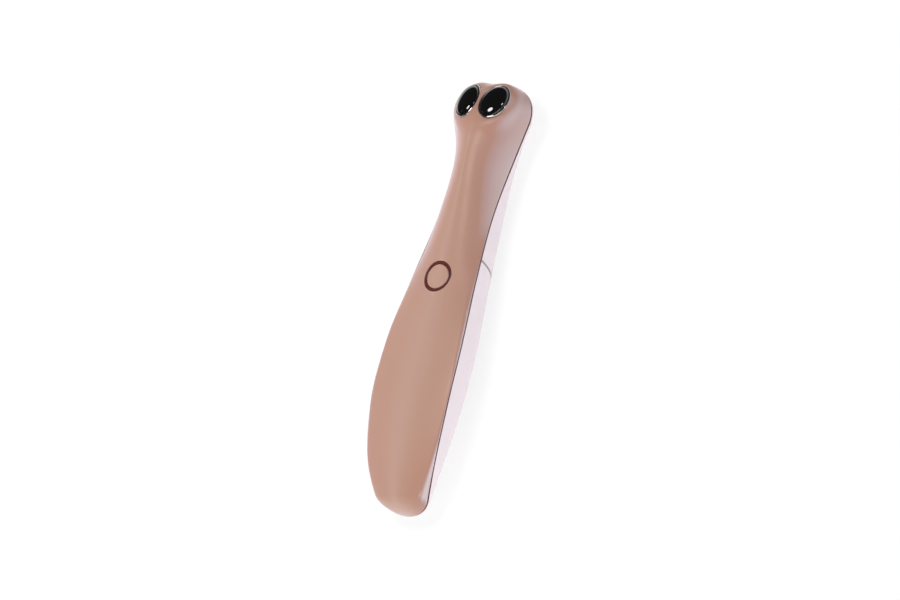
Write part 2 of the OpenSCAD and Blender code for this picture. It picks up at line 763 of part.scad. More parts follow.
// A post from the plate up to the sloping board
module board_post(x, y) {
  under_z = button_z + y * sin(button_tilt) + (board_top - board_t) * cos(button_tilt);
  long = (under_z - frame_z - frame_t + post_root) / cos(button_tilt);
  on_board(x, y) translate([0, 0, -board_t - long]) cylinder(r = board_post_r, h = long);
}
module frame_screws() {
  color(steel) centred() for (x = [-1, 1], along = frame_screw_places)
    translate([x * frame_screw_x, along, frame_z + frame_t]) screw(screw_l);
}

// ---- Vibration motor ----
shaft_r = 0.5;
shaft_gap = 0.05;
shaft_in = 3.8;
shaft_out = 5.8;
shaft_bore_l = 4;
end_cap_t = 1;
end_cap_step = 0.4;
weight_step = 0.2;
weight_r = motor_d / 2 - weight_step;
weight_l = 4;
weight_gap = 1;
weight_keep = 1;
weight_from = motor_from + motor_l + weight_gap;
module motor_can() {
  color(silver) centred() along_y(motor_from, motor_z) difference() {
    cylinder(d = motor_d, h = motor_l);
    translate([0, 0, motor_l - shaft_bore_l]) cylinder(r = shaft_r + shaft_gap, h = shaft_bore_l + over);
  }
}
module motor_end_cap() {
  color(rubber) centred() along_y(motor_from - end_cap_t, motor_z)
    cylinder(d = motor_d - 2 * end_cap_step, h = end_cap_t);
}
module motor_shaft() {
  color(steel) centred() along_y(motor_from + motor_l - shaft_in, motor_z)
    cylinder(r = shaft_r, h = shaft_in + shaft_out);
}
module motor_weight() {
  color(steel) centred() along_y(weight_from, motor_z) difference() {
    cylinder(r = weight_r, h = weight_l);
    translate([-weight_r - over, -weight_r - weight_keep, -over])
      cube([2 * (weight_r + over), weight_r, weight_l + 2 * over]);
    translate([0, 0, -over]) cylinder(r = shaft_r, h = weight_l + 2 * over);
  }
}
module motor_sleeve() {
  color(rubber) centred() along_y(motor_from + sleeve_inset, motor_z) difference() {
    cylinder(r = motor_sleeve_r, h = motor_l - 2 * sleeve_inset);
    translate([0, 0, -over]) cylinder(d = motor_d, h = motor_l + over);
  }
}

// ---- Domes ----
dome_seat = -1.2;
ledge_t = 0.5;
ledge_inset = 1.3;
seal_t = 0.6;
dome_rings = 8;
dome_arc = 88;
seal_inset = 0.15;
heater_play = 0.1;
sensor_r = 0.5;
sensor_l = 1.8;
module dome_solid() {
  a = dome_a - bezel_wall - fit_gap;
  b = dome_b - bezel_wall - fit_gap;
  function level(k) = dome_arc * k / dome_rings;
  tube(concat(
    [[for (p = oval(a, b)) [p[0], p[1], dome_seat]]],
    [for (k = [0 : dome_rings]) [for (p = oval(a * cos(level(k)), b * cos(level(k))))
      [p[0], p[1], dome_h * sin(level(k))]]]
  ));
}
module bezel_solid() {
  difference() {
    oval_disc(0, bezel_bottom, bezel_top);
    oval_disc(bezel_wall, dome_seat, bezel_top + over);
    oval_disc(ledge_inset, bezel_bottom - over, bezel_top);
  }
}
module seal_solid() {
  difference() {
    oval_disc(seal_inset, bezel_bottom - seal_t, bezel_bottom);
    oval_disc(ledge_inset, bezel_bottom - seal_t - over, bezel_bottom + over);
  }
}
module heater_solid() {
  oval_disc(ledge_inset + heater_play, dome_seat - ledge_t, dome_seat);
}
module dome_left() { color(black) centred() at_dome(-1) dome_solid(); }
module dome_right() { color(black) centred() at_dome(1) dome_solid(); }
module bezel_left() { color(silver) centred() at_dome(-1) bezel_solid(); }
module bezel_right() { color(silver) centred() at_dome(1) bezel_solid(); }
module dome_seal_left() { color(rubber) centred() at_dome(-1) seal_solid(); }
module dome_seal_right() { color(rubber) centred() at_dome(1) seal_solid(); }
module heater_left() { color([0.72, 0.45, 0.15]) centred() at_dome(-1) heater_solid(); }
module heater_right() { color([0.72, 0.45, 0.15]) centred() at_dome(1) heater_solid(); }
module thermistors() {
  color(black) centred() for (side = [-1, 1])
    at_dome(side) translate([0, -sensor_l / 2, dome_seat - ledge_t - sensor_r]) rotate([-90, 0, 0])
      cylinder(r = sensor_r, h = sensor_l);
}

// The carrier holds both domes up: oval cups on a plate that screws to the inner frame
carrier_before = 3;
carrier_after = 4.6;
carrier_from = carrier_screw_at - carrier_before;
carrier_to = dome_at + carrier_after;
cup_x = dome_pitch / 2 + (bezel_bottom - seal_t) * sin(dome_cant);
cup_at = dome_at + (bezel_bottom - seal_t) * sin(dome_tilt);
cup_inset = 1;
cup_wall = 1;
lead_hole_r = 1.6;
carrier_screw_l = 3.8;
carrier_play = 0.3;
carrier_share = 0.94;
carrier_rim = 1;
function carrier_half(along) =
  let (room = carrier_share * end_share(along, wall_t) * head_room_half(along, carrier_z) - carrier_play)
  min(carrier_screw_x + post_r + carrier_rim, room);
module cup(inset) {
  translate([0, 0, carrier_z]) linear_extrude(dome_z - carrier_z + 2 * over)
    translate([cup_x, cup_at]) rotate(-dome_splay)
      polygon(oval(dome_a - inset, dome_b * cos(dome_tilt) - inset));
}
module dome_carrier() {
  edge = [for (k = [0 : 10]) let (a = carrier_from + (carrier_to - carrier_from) * k / 10)
    [carrier_half(a), a]];
  color(nylon) centred() difference() {
    union() {
      translate([0, 0, carrier_z]) linear_extrude(carrier_t)
        polygon(concat(edge, [for (p = back_to_front(edge)) [-p[0], p[1]]]));
      for (side = [0, 1]) mirror([side, 0, 0]) cup(cup_inset);
    }
    for (side = [0, 1]) mirror([side, 0, 0]) cup(cup_inset + cup_wall);
    for (side = [0, 1]) mirror([side, 0, 0]) translate([cup_x, cup_at, 0])
      cylinder(r = lead_hole_r, h = body_t);
    for (side = [-1, 1]) at_dome(side) translate([-dome_l, -dome_l, bezel_bottom - seal_t])
      cube([2 * dome_l, 2 * dome_l, body_t]);
    for (x = [-1, 1]) translate([x * carrier_screw_x, carrier_screw_at, 0])
      cylinder(r = screw_r + screw_play, h = body_t);
  }
}
module carrier_screws() {
  color(steel) centred() for (x = [-1, 1])
    translate([x * carrier_screw_x, carrier_screw_at, carrier_z + carrier_t]) screw(carrier_screw_l);
}

// ---- Charging socket ----
module charge_shell() {
  color(steel) centred() translate([0, charge_at, charge_mouth_z]) difference() {
    linear_extrude(charge_l) slot_shape(charge_w, charge_t);
    translate([0, 0, -over]) linear_extrude(charge_l + over - shell_back)
      slot_shape(charge_w - 2 * shell_t, charge_t - 2 * shell_t);
  }
}
module charge_tongue() {
  color(rubber) centred() translate([-tongue_w / 2, charge_at - tongue_t / 2, charge_mouth_z + tongue_inset])
    cube([tongue_w, tongue_t, charge_l - tongue_inset - shell_back]);
}
module charge_board() {
  color(board_green) centred() difference() {
    translate([-charge_board_w / 2, charge_board_from, charge_board_z])
      cube([charge_board_w, charge_board_to - charge_board_from, board_t]);
    for (x = [-1, 1]) translate([x * charge_screw_x, charge_screw_at, 0])
      cylinder(r = screw_r - screw_play, h = body_t);
  }
}
charge_chip_size = 3;
charge_chip_t = 0.9;
module charge_chip() {
  color(rubber) centred()
    translate([-charge_chip_size / 2, charge_at - charge_chip_size / 2, charge_board_z + board_t])
      cube([charge_chip_size, charge_chip_size, charge_chip_t]);
}
module charge_board_screws() {
  color(steel) centred() for (x = [-1, 1])
    translate([x * charge_screw_x, charge_screw_at, charge_board_z + board_t])
      small_screw(small_pilot_l - pilot_room);
}

// ---- Leads: round, eight-sided tubes through points chosen by hand ----
lead_r = 0.4;
lead_sides = 8;
function unit(v) = v / norm(v);
function lead_ring(points, i) =
  let (
    n = len(points),
    ahead = unit(points[min(i + 1, n - 1)] - points[max(i - 1, 0)]),
    across = unit(cross(ahead, abs(ahead[2]) > 0.9 ? [0, 1, 0] : [0, 0, 1])),
    up = cross(across, ahead)
  )
  [for (k = [0 : lead_sides - 1]) let (a = -360 * k / lead_sides)
    points[i] + lead_r * (cos(a) * across + sin(a) * up)];
module lead(points) {
  tube([for (i = [0 : len(points) - 1]) lead_ring(points, i)]);
}
// Leads lie against what they are soldered to, and keep this far from all else
lead_near = 0.03;
lead_clear = 0.35;
lead_touch = lead_r + lead_near;
lead_room = lead_r + lead_clear;
lead_pitch = 2 * lead_r + 0.3;
// Lane for leads along the cell, between the cell's window and the case
lane_x = cell_d / 2 + window_gap + lead_room;
lane_high = frame_z + frame_t + lead_room + 0.8;
tab_z = cell_z + 5;
board_lead_y = 2 - board_l / 2;
module cell_leads() {
  color([0.7, 0.1, 0.1]) centred() {
    lead([
      [1.6, cell_to + 0.2 + lead_touch, tab_z], [1.6, cell_to + 1.9, tab_z - 1.6],
      under_board(1.6, board_lead_y - 1.4, 2 * lead_room), under_board(1.6, board_lead_y + 1, lead_touch)
    ]);
    lead([
      [-1.6, cell_from - 0.2 - lead_touch, tab_z], [-lane_x, cell_from - lead_room, lane_high],
      [-lane_x, cell_from + 3, lane_high], [-lane_x, cell_to + 0.6, lane_high],
      [-4.9, cell_to + 2.5, lane_high], under_board(-4.4, board_lead_y + 1, lead_touch)
    ]);
  }
}
module charge_leads() {
  color([0.1, 0.1, 0.1]) centred() for (shift = [0, lead_pitch])
    lead([
      [0.5 + shift, charge_at + 3, charge_board_z + board_t + lead_touch],
      [0.5 + shift, charge_board_to + 0.4 - shift, charge_board_z + board_t + lead_touch + 0.3],
      [lane_x + shift, cell_from - lead_room - shift, lane_high + 0.6],
      [lane_x + shift, cell_from + 3, lane_high], [lane_x + shift, cell_to + 0.5 + shift, lane_high],
      [4.2 + shift, cell_to + 2.2 + shift, lane_high], under_board(4.2 + shift, board_lead_y + 1, lead_touch)
    ]);
}
motor_lead_x = 1.4;
module motor_leads() {
  color([0.1, 0.2, 0.6]) centred() for (x = [-motor_lead_x, motor_lead_x])
    lead([
      [x, motor_from - 1 - lead_touch, motor_z + 1], [x, motor_from - 3, motor_z + 2.4],
      [x, motor_from - 7, frame_z + frame_t - 0.3], under_board(x, board_l / 2 - 2, lead_touch)
    ]);
}
// Heater leads pass outside the carrier's posts and over the frame's screws
outer_lane = carrier_screw_x + post_r + lead_room;
plate_lead_z = frame_z + frame_t + carrier_gap / 2;
over_screw_z = frame_z + frame_t + screw_head_t + lead_room;
module heater_leads() {
  color([0.8, 0.8, 0.75]) centred() for (side = [-1, 1], gap = [0, lead_pitch])
    lead([
      [side * (cup_x - 0.5 + gap), cup_at, carrier_z + 2.6],
      [side * (cup_x - 0.5 + gap), cup_at, carrier_z - 0.4],
      [side * (cup_x + 1 + gap), cup_at - 5, plate_lead_z],
      [side * (outer_lane + gap), frame_to + 0.5, plate_lead_z],
      [side * (outer_lane + gap), carrier_screw_at - 3, plate_lead_z],
      [side * (frame_screw_x + 1.6 + gap), motor_from + 6, plate_lead_z],
      [side * (frame_screw_x + 1.6 + gap), frame_screw_places[1] + 5, plate_lead_z],
      [side * (frame_screw_x + 0.8 + gap), frame_screw_places[1] + 2.2, over_screw_z],
      [side * (frame_screw_x - 0.8 + gap), frame_screw_places[1] - 0.6, over_screw_z + 0.4],
      over_board(side * (4.4 + gap), board_l / 2 + 0.8, lead_room + 0.1),
      over_board(side * (3.9 + gap), board_l / 2 - 1.2, lead_touch)
    ]);
}
front_cover();
back_cover_lower();
back_cover_upper();
back_band();
seam_gasket();
button_ring();
button_cap();
button_pad();
switch_body();
switch_plunger();
main_board();
control_chip();
power_coil();
status_leds();
board_screws();
inner_frame();
frame_screws();
cell();
cell_wrap();
cell_tabs();
cell_foam();
motor_can();
motor_end_cap();
motor_shaft();
motor_weight();
motor_sleeve();
dome_left();
dome_right();
bezel_left();
bezel_right();
dome_seal_left();
dome_seal_right();
heater_left();
heater_right();
thermistors();
dome_carrier();
carrier_screws();
charge_board();
charge_shell();
charge_tongue();
charge_chip();
charge_board_screws();
cell_leads();
charge_leads();
motor_leads();
heater_leads();
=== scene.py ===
import json
import math
import bmesh
import bpy
import numpy as np
from mathutils import Matrix, Vector


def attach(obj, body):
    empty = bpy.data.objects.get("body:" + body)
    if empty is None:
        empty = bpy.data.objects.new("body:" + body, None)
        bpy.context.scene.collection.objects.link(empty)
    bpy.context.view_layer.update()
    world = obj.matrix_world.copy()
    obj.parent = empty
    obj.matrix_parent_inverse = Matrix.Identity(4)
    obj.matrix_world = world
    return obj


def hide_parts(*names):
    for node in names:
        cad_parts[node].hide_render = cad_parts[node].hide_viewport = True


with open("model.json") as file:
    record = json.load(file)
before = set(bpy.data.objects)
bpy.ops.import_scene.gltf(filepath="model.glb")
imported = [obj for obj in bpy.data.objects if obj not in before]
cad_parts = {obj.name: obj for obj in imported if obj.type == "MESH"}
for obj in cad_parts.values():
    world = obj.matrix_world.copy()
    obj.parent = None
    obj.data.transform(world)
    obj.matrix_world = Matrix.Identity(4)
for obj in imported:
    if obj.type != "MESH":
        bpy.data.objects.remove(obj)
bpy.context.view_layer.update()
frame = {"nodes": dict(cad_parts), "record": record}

mm = 0.001
print("stage: frame loaded,", len(frame["nodes"]), "nodes")

# camera first: the photograph's angle, with the wand's length running up the picture
cameraSet = {"right": (0.7926, 0.2218, -0.5679), "up": (-0.0346, 0.9460, 0.3212),
             "toward": (0.6088, -0.2360, 0.7574), "aim": (5.65, -3.26, 19.2),
             "wide": 316.35, "distance": 420, "clipFrom": 0.01, "clipTo": 20}
camData = bpy.data.cameras.new("photoCamera")
camData.type = "ORTHO"
camData.ortho_scale = cameraSet["wide"] * mm
camData.clip_start = cameraSet["clipFrom"]
camData.clip_end = cameraSet["clipTo"]
cam = bpy.data.objects.new("photoCamera", camData)
bpy.context.scene.collection.objects.link(cam)
turn = Matrix([cameraSet["right"], cameraSet["up"], cameraSet["toward"]]).transposed()
camPlace = (Vector(cameraSet["aim"]) + cameraSet["distance"] * Vector(cameraSet["toward"])) * mm
cam.matrix_world = Matrix.Translation(camPlace) @ turn.to_4x4()
bpy.context.scene.camera = cam
print("stage: camera")

# outline of the wand, in mm, with "along" measured from the tail
wand = {"length": 160.0, "handleWidth": 33.6, "waistWidth": 24.0, "headWidth": 33.6, "thick": 26.0,
        "wall": 1.6, "seamGap": 0.3, "sink": 0.1, "tailRound": 5.1, "tailPower": 2.33,
        "headRound": 15.7, "headPower": 1.75, "backPower": 2.1, "crownPower": 2.2, "lip": 0.3,
        "thumbEase": 0.03, "thumbReach": 12.0, "buttonAt": 84.16}
length, thick = wand["length"], wand["thick"]
handleHalf, waistHalf, headHalf = wand["handleWidth"] / 2, wand["waistWidth"] / 2, wand["headWidth"] / 2
station = length * np.array([0, 0.076, 0.217, 0.382, 0.535, 0.688, 0.841, 1])
halfList = np.array([0.521 * handleHalf, 0.808 * handleHalf, handleHalf, 0.995 * handleHalf,
                     0.488 * (handleHalf + waistHalf), waistHalf, 0.817 * headHalf, 1.38 * headHalf])
seamList = thick * np.array([0.335, 0.623, 0.811, 0.801, 0.688, 0.546, 0.43, 0.606])
wallList = thick * np.array([0.21, 0.085, 0.02, 0.04, 0.035, 0.023, 0.173, 0.21])
crownList = thick * np.array([0.104, 0.096, 0.088, 0.073, 0.135, 0.27, 0.267, 0.135])
backList = thick * np.array([0.085, 0.403, 0.723, 0.797, 0.69, 0.546, 0.279, 0.229])
leanList = np.array([0.6, 0.6, 0.5, 0.6, 0.9, 2, 3.2, 4])
cornerList = np.array([1.5, 1, 0.8, 0.9, 1.2, 2.5, 6, 7])
tailTip, headTip = 0.262 * thick, 0.396 * thick


def slopes(v):
    d = np.diff(v) / np.diff(station)
    h = np.diff(station)
    m = np.empty(len(v))
    m[1:-1] = (h[:-1] * d[1:] + h[1:] * d[:-1]) / (h[:-1] + h[1:])
    m[0] = 1.5 * d[0] - 0.5 * m[1]
    m[-1] = 1.5 * d[-1] - 0.5 * m[-2]
    return m


def curve(v, a):  # smooth curve through the values v at the stations
    i = int(np.clip(np.searchsorted(station, a, side="right") - 1, 0, len(station) - 2))
    h = station[i + 1] - station[i]
    t = (a - station[i]) / h
    m = slopes(v)
    return ((2 * t**3 - 3 * t**2 + 1) * v[i] + (t**3 - 2 * t**2 + t) * h * m[i]
            + (3 * t**2 - 2 * t**3) * v[i + 1] + (t**3 - t**2) * h * m[i + 1])


def roundOff(t, power):
    return max(0.0, 1 - min(1, max(0, t)) ** power) ** (1 / power)


def endShare(a, g=0.0):
    return (roundOff((wand["tailRound"] + g - a) / wand["tailRound"], wand["tailPower"])
            * roundOff((a - (length - g - wand["headRound"])) / wand["headRound"], wand["headPower"]))


def setZ(a, z, g=0.0):
    tip = tailTip if a < length / 2 else headTip
    return tip + endShare(a, g) * (z - tip) - wand["sink"]


def halfWidth(a):
    return curve(halfList, a)


def seamHeight(a):
    return curve(seamList, a)


def creaseHeight(a):
    return seamHeight(a) + curve(wallList, a)


def crownHeight(a):  # a little flatter along the length where the thumb lies on the button
    d = a - wand["buttonAt"]
    return curve(crownList, a) + wand["thumbEase"] * d * math.exp(-(d / wand["thumbReach"]) ** 2)


def frontHeight(a):
    return creaseHeight(a) + crownHeight(a)


def crownZ(a, x):
    edge = halfWidth(a) - curve(leanList, a)
    return frontHeight(a) - crownHeight(a) * min(1, abs(x) / edge) ** wand["crownPower"]


def skinZ(a, x):
    return setZ(a, crownZ(a, x))


def lipInset(h):  # how far a cover's edge is rounded in, h above its edge
    r = wand["lip"]
    return r - math.sqrt(max(0.0, r * r - max(0.0, r - h) ** 2))


sectionSteps = {"wall": 5, "corner": 15, "crown": 26}
arcPoints = sectionSteps["wall"] + sectionSteps["corner"] + sectionSteps["crown"] + 1

neck = {"from": 88.0, "to": 106.0, "powers": np.array([2.6, 2.6, 2.6, 2.6, 2.6, 2.1, 1.85, 3.3])}


def roundNeck(a, pts):  # past the button the side wall and the crown flow into one curve
    t = min(1, max(0, (a - neck["from"]) / (neck["to"] - neck["from"])))
    share = t * t * (3 - 2 * t)
    w, s, top = halfWidth(a), seamHeight(a), frontHeight(a)
    power = curve(neck["powers"], a)
    return [np.array([x, z + share * (s + (top - s) * (1 - (x / w) ** power) - z)]) for x, z in pts]


def frontHalf(a):
    w, s = halfWidth(a), seamHeight(a)
    low = np.array([w, s])
    crease = np.array([w - curve(leanList, a), creaseHeight(a)])
    run = np.linalg.norm(crease - low)
    start = crease + min(curve(cornerList, a), 0.8 * run) * (low - crease) / run
    turnX = crease[0] - curve(cornerList, a)
    end = np.array([turnX, crownZ(a, turnX)])
    pts = [low + (start - low) * k / sectionSteps["wall"] for k in range(sectionSteps["wall"])]
    for k in range(sectionSteps["corner"]):
        t = k / sectionSteps["corner"]
        pts.append((1 - t) ** 2 * start + 2 * t * (1 - t) * crease + t * t * end)
    for k in range(sectionSteps["crown"] + 1):
        x = turnX * (1 - k / sectionSteps["crown"])
        pts.append(np.array([x, crownZ(a, x)]))
    return [(p[0] - lipInset(p[1] - s), p[1]) for p in roundNeck(a, pts)]


def frontInnerHalf(a, g):  # the outer curve drawn in, so that the two never meet
    w, s, top = halfWidth(a), seamHeight(a), frontHeight(a)
    return [(x * (w - g) / w, s + (z - s) * (top - g - s) / (top - s)) for x, z in frontHalf(a)]


def backHalf(a, g):
    w = halfWidth(a) - g
    drop = wand["seamGap"]
    depth = max(0.1 if g > 0 else 0.4, curve(backList, a) - g - drop)
    e = 2 / wand["backPower"]
    out = []
    for k in range(arcPoints):
        t = math.pi / 2 * (k / (arcPoints - 1)) ** 1.5
        z = depth * math.sin(t) ** e
        x = w * max(0.0, math.cos(t)) ** e
        out.append((-(x - (lipInset(z) if g == 0 else 0)), seamHeight(a) - drop - z))
    return out


def mirrored(half):
    return half + [(-x, z) for x, z in half[-2::-1]]


ringSteps = {"tail": 26, "middle": 120, "head": 46, "firstTurn": 1.5}


def ringPlaces(g):
    out = []
    for k in range(ringSteps["tail"]):
        t = math.radians(ringSteps["firstTurn"] + (90 - ringSteps["firstTurn"]) * k / ringSteps["tail"])
        out.append(g + wand["tailRound"] * (1 - math.cos(t) ** (2 / wand["tailPower"])))
    a0, a1 = g + wand["tailRound"], length - g - wand["headRound"]
    out += list(np.linspace(a0, a1, ringSteps["middle"]))
    for k in range(1, ringSteps["head"] + 1):
        t = math.radians(90 - (90 - ringSteps["firstTurn"]) * k / ringSteps["head"])
        out.append(length - g - wand["headRound"] * (1 - math.cos(t) ** (2 / wand["headPower"])))
    return out


headEnd = {"from": 150.0, "pull": 0.8}  # the head's end sits this much further in


def pulled(a):
    t = max(0, (a - headEnd["from"]) / (length - headEnd["from"]))
    return a - headEnd["pull"] * t * t * (3 - 2 * t)


def rowsOf(half, g):
    rows = []
    for a in ringPlaces(g):
        share = endShare(a, g)
        rows.append([(share * x, pulled(a), setZ(a, z, g)) for x, z in mirrored(half(a))])
    return np.array(rows)


def newPiece(name, verts, faces, smoothAngle=35):
    mesh = bpy.data.meshes.new(name)
    mesh.from_pydata([tuple(v) for v in verts], [], faces)
    mesh.update()
    piece = bpy.data.objects.new(name, mesh)
    bpy.context.scene.collection.objects.link(piece)
    tidyNormals(piece, smoothAngle)
    return piece


def tidyNormals(piece, angle=35):
    bm = bmesh.new()
    bm.from_mesh(piece.data)
    bmesh.ops.recalc_face_normals(bm, faces=bm.faces)
    bm.to_mesh(piece.data)
    bm.free()
    piece.data.shade_smooth()
    piece.data.set_sharp_from_angle(angle=math.radians(angle))


def inMetres(points):  # along the wand to the model's own frame
    p = np.array(points, dtype=float).reshape(-1, 3).copy()
    p[:, 1] -= length / 2
    return p * mm


def coverPiece(name, outer, inner):
    rows, cols = outer.shape[:2]
    n, e, top = rows * cols, cols - 1, (rows - 1) * cols
    faces = []
    for i in range(rows - 1):
        for j in range(cols - 1):
            a, b, c, d = i * cols + j, i * cols + j + 1, (i + 1) * cols + j + 1, (i + 1) * cols + j
            faces.append((a, b, c, d))
            faces.append((n + d, n + c, n + b, n + a))
        for j in (0, e):
            faces.append((i * cols + j, (i + 1) * cols + j, n + (i + 1) * cols + j, n + i * cols + j))
    for base in (0, top):
        faces.append(tuple(base + j for j in range(cols)))
        faces.append(tuple(n + base + j for j in range(cols - 1, -1, -1)))
        faces.append((base, base + e, n + base + e, n + base))
    verts = np.concatenate([outer.reshape(-1, 3), inner.reshape(-1, 3)])
    return newPiece(name, inMetres(verts), faces)


def combine(piece, tool, how):
    mod = piece.modifiers.new("cut", "BOOLEAN")
    mod.operation = how
    mod.solver = "EXACT"
    mod.object = tool
    graph = bpy.context.evaluated_depsgraph_get()
    done = bpy.data.meshes.new_from_object(piece.evaluated_get(graph))
    piece.modifiers.clear()
    piece.data = done
    bpy.data.objects.remove(tool)
    tidyNormals(piece)


# places of the button and of the two domes
button = {"at": wand["buttonAt"], "ringR": 5.8, "boreR": 4.6, "gap": 0.1, "ringSink": 0.13, "capSink": 0.07,
          "depth": 2.4, "capDepth": 3.0, "holePlay": 0.03, "dish": 0.10}
buttonTilt = math.atan((skinZ(button["at"] + 2, 0) - skinZ(button["at"] - 2, 0)) / 4)
buttonFrame = (Matrix.Translation((0, button["at"], skinZ(button["at"], 0)))
               @ Matrix.Rotation(buttonTilt, 4, "X"))
dome = {"width": 10.7, "long": 14.3, "height": 2.4, "pitch": 11.7, "at": 149.8, "tilt": 18, "cant": 13.5,
        "splay": 11, "sink": 1.85, "bezelWall": 0.55, "bezelFoot": 1.3, "bezelTop": 0.35, "bezelBottom": -2.6,
        "seat": -1.2, "play": 0.02, "lip": 0.14, "fall": 0.5, "holePlay": 0.03, "sides": 112, "rings": 26,
        "lastTurn": 88.5}
domeA, domeB = dome["width"] / 2, dome["long"] / 2
domeZ = skinZ(dome["at"], 0) - dome["sink"]
domeFrame = (Matrix.Translation((dome["pitch"] / 2, dome["at"], domeZ))
             @ Matrix.Rotation(math.radians(-dome["tilt"]), 4, "X")
             @ Matrix.Rotation(math.radians(dome["cant"]), 4, "Y")
             @ Matrix.Rotation(math.radians(-dome["splay"]), 4, "Z"))
mirrorX = Matrix.Scale(-1, 4, (1, 0, 0))


def domePlace(side):
    return domeFrame if side > 0 else mirrorX @ domeFrame


def atFrame(place, points):
    return inMetres([place @ Vector(p) for p in points])


def ovalRing(inset, z, sides=dome["sides"]):
    return [((domeA - inset) * math.cos(t), (domeB - inset) * math.sin(t), z)
            for t in (2 * math.pi * k / sides for k in range(sides))]


# rings of equal count, capped unless closed on itself
def lofted(name, place, rings, closed=False, smoothAngle=35):
    sides = len(rings[0])
    faces = []
    last = len(rings) if closed else len(rings) - 1
    for i in range(last):
        j = (i + 1) % len(rings)
        for k in range(sides):
            m = (k + 1) % sides
            faces.append((i * sides + k, i * sides + m, j * sides + m, j * sides + k))
    if not closed:
        faces.append(tuple(range(sides - 1, -1, -1)))
        faces.append(tuple((len(rings) - 1) * sides + k for k in range(sides)))
    return newPiece(name, atFrame(place, [p for r in rings for p in r]), faces, smoothAngle=smoothAngle)


def discRing(r, z, sides=dome["sides"]):
    return [(r * math.cos(t), r * math.sin(t), z) for t in (2 * math.pi * k / sides for k in range(sides))]


# the two covers
# the front skin meets the bezels between these heights
domeSkin = {"reach": 4.5, "low": -0.6, "high": 0.15, "behind": 16, "floor": -7, "rise": 4}


def fitToDomes(outer):
    for side in (1, -1):
        place = domePlace(side)
        back = place.inverted()
        for i in range(outer.shape[0]):
            if outer[i, 0, 1] < dome["at"] - domeSkin["behind"]:
                continue
            for j in range(outer.shape[1]):
                q = back @ Vector(outer[i, j])
                if q.z < domeSkin["floor"]:
                    continue
                rho = math.hypot(q.x / domeA, q.y / domeB)
                gone = (rho - 1) * math.hypot(q.x, q.y) / max(rho, 1e-6)
                if gone > domeSkin["reach"]:
                    continue
                t = 1 - max(0.0, gone) / domeSkin["reach"]
                blend = t * t * (3 - 2 * t) * min(1, (q.z - domeSkin["floor"]) / domeSkin["rise"])
                q.z += (min(max(q.z, domeSkin["low"]), domeSkin["high"]) - q.z) * blend
                outer[i, j] = place @ q
    return outer


frontOuter = fitToDomes(rowsOf(frontHalf, 0))
frontInner = rowsOf(lambda a: frontInnerHalf(a, wand["wall"]), wand["wall"])
frontCover = coverPiece("frontCoverSkin", frontOuter, frontInner)
holeR = button["ringR"] + button["holePlay"]
buttonCut = [discRing(holeR, -6), discRing(holeR, 3)]
combine(frontCover, lofted("buttonHole", buttonFrame, buttonCut), "DIFFERENCE")
for side in (1, -1):
    domeCut = [ovalRing(-dome["holePlay"], -4.5), ovalRing(-dome["holePlay"], 4)]
    combine(frontCover, lofted("domeHole", domePlace(side), domeCut), "DIFFERENCE")
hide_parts("front_cover")
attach(frontCover, "housing")
print("stage: front cover", len(frontCover.data.polygons), "faces")

backSplit = {"at": 92.48, "wide": 1.0, "lean": 13.4, "slotWide": 9.2, "slotHigh": 3.5, "slotAt": 13.6}
splitPoint = Vector((0, backSplit["at"], setZ(backSplit["at"], seamHeight(backSplit["at"]))))
splitFrame = Matrix.Translation(splitPoint) @ Matrix.Rotation(math.radians(-backSplit["lean"]), 4, "X")


def boxTool(place, low, high):
    corners = [(x, y, z) for x in (low[0], high[0]) for y in (low[1], high[1]) for z in (low[2], high[2])]
    faces = [(0, 1, 3, 2), (4, 6, 7, 5), (0, 4, 5, 1), (2, 3, 7, 6), (0, 2, 6, 4), (1, 5, 7, 3)]
    return newPiece("cutBox", atFrame(place, corners), faces)


backOuter = rowsOf(lambda a: backHalf(a, 0), 0)
backInner = rowsOf(lambda a: backHalf(a, wand["wall"]), wand["wall"])
for name, node, cutFrom, cutTo in (("backCoverLowerSkin", "back_cover_lower", -backSplit["wide"] / 2, 200),
                                   ("backCoverUpperSkin", "back_cover_upper", -200, backSplit["wide"] / 2)):
    cover = coverPiece(name, backOuter, backInner)
    combine(cover, boxTool(splitFrame, (-200, cutFrom, -200), (200, cutTo, 200)), "DIFFERENCE")
    combine(cover, boxTool(Matrix.Identity(4), (-60, -20, -10), (60, 200, 0)), "DIFFERENCE")
    if node == "back_cover_lower":
        half = (backSplit["slotWide"] - backSplit["slotHigh"]) / 2
        r = backSplit["slotHigh"] / 2
        slot = [(math.copysign(half, math.cos(t)) + r * math.cos(t), backSplit["slotAt"] + r * math.sin(t))
                for t in (2 * math.pi * (k + 0.5) / 48 for k in range(48))]
        slotCut = [[(x, y, z) for x, y in slot] for z in (-2, 14)]
        combine(cover, lofted("socketHole", Matrix.Identity(4), slotCut), "DIFFERENCE")
    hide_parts(node)
    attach(cover, "housing")
    print("stage:", name, len(cover.data.polygons), "faces")

# maroon seal in the seam
seal = {"inset": 0.04, "bead": 0.11, "neck": 0.32, "depth": 1.3, "play": 0.03}
sealPlaces = ringPlaces(seal["inset"])
sealRings = []
for side, places in ((1, sealPlaces), (-1, sealPlaces[::-1])):
    for a in places:
        ring = []
        for g, drop in ((seal["inset"], -seal["bead"]), (seal["inset"], wand["seamGap"] + seal["bead"]),
                        (seal["neck"], wand["seamGap"] - seal["play"]),
                        (seal["depth"], wand["seamGap"] - seal["play"]),
                        (seal["depth"], seal["play"]), (seal["neck"], seal["play"])):
            ring.append((side * endShare(a, seal["inset"]) * (halfWidth(a) - g), pulled(a),
                         setZ(a, seamHeight(a) - drop, seal["inset"])))
        sealRings.append(ring)
seamSeal = lofted("seamSeal", Matrix.Identity(4), sealRings, closed=True)
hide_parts("seam_gasket")
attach(seamSeal, "housing")
print("stage: seam seal")

